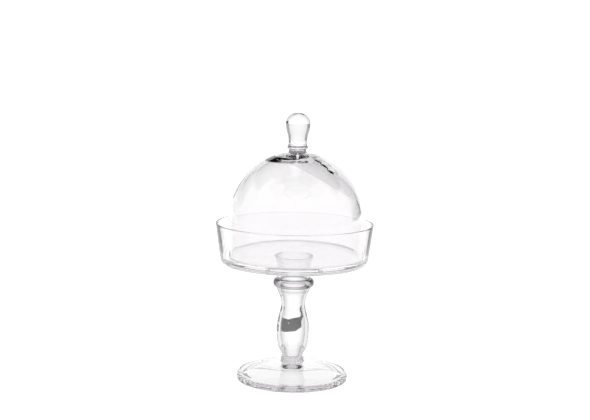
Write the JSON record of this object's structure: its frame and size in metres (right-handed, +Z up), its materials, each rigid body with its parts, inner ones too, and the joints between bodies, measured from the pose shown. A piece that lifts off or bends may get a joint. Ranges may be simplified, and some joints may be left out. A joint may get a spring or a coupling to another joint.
{
  "type": "domed cake stand",
  "caption": "Clear glass footed cake stand with a shallow tray on a hollow baluster stem and a lift-off bell dome with a solid drop knob.",
  "frame": {"origin": "centre of the foot's underside, on the surface that the stand rests on", "axes": "+Z up along the stem; the stand is round about it, so +X and +Y are free; the lid rests 1.6 mm towards +X"},
  "size_m": [0.17, 0.17, 0.2895],
  "materials": {
    "stand_glass": "clear, fire polished, slightly wavy",
    "dome_glass": "clear, blown, fire polished",
    "solid_glass": "clear, solid, fire polished"
  },
  "bodies": {
    "stand": {"foot": "stand_glass", "foot_joint": "solid_glass", "stem": "stand_glass", "stem_collar": "solid_glass", "tray_neck": "solid_glass", "tray": "stand_glass"},
    "lid": {"dome": "dome_glass", "knob_seat": "dome_glass", "knob": "solid_glass"}
  },
  "joints": [
    {"name": "dome_lift", "type": "slide", "parent": "stand", "child": "lid", "axis": [0, 0, 1], "range_m": [0, 0.15]}
  ]
}
